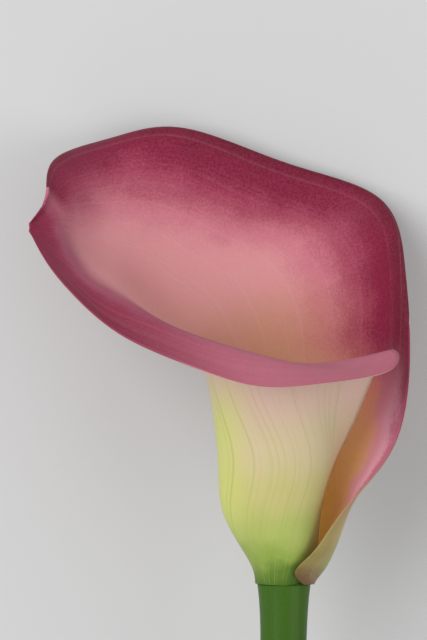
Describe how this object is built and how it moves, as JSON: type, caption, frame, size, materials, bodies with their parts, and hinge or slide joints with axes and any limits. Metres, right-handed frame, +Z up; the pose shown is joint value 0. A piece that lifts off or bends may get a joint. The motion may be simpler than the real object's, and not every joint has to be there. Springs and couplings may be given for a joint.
{
  "type": "calla lily flower",
  "caption": "Cut calla lily: one rose-coloured spathe rolled into an open funnel with a rolled rim, on a smooth green stem, lying on its back.",
  "frame": {"origin": "middle of the whole flower's outline seen from above, on the surface it lies on", "axes": "+Y along the flower from the stem's cut end to the rim, +Z up and out of the funnel's open front, +X to the side away from the pointed tip"},
  "size_m": [0.091, 0.2772, 0.0773],
  "materials": {
    "stem": "smooth waxy green stalk, satin",
    "spathe": "soft velvety petal, crimson rim to pale rose throat and yellow-green tube, satin",
    "spadix": "tiny yellow florets, matte"
  },
  "bodies": {
    "root": {"stem": "stem", "spathe": "spathe", "spadix": "spadix"}
  },
  "joints": []
}
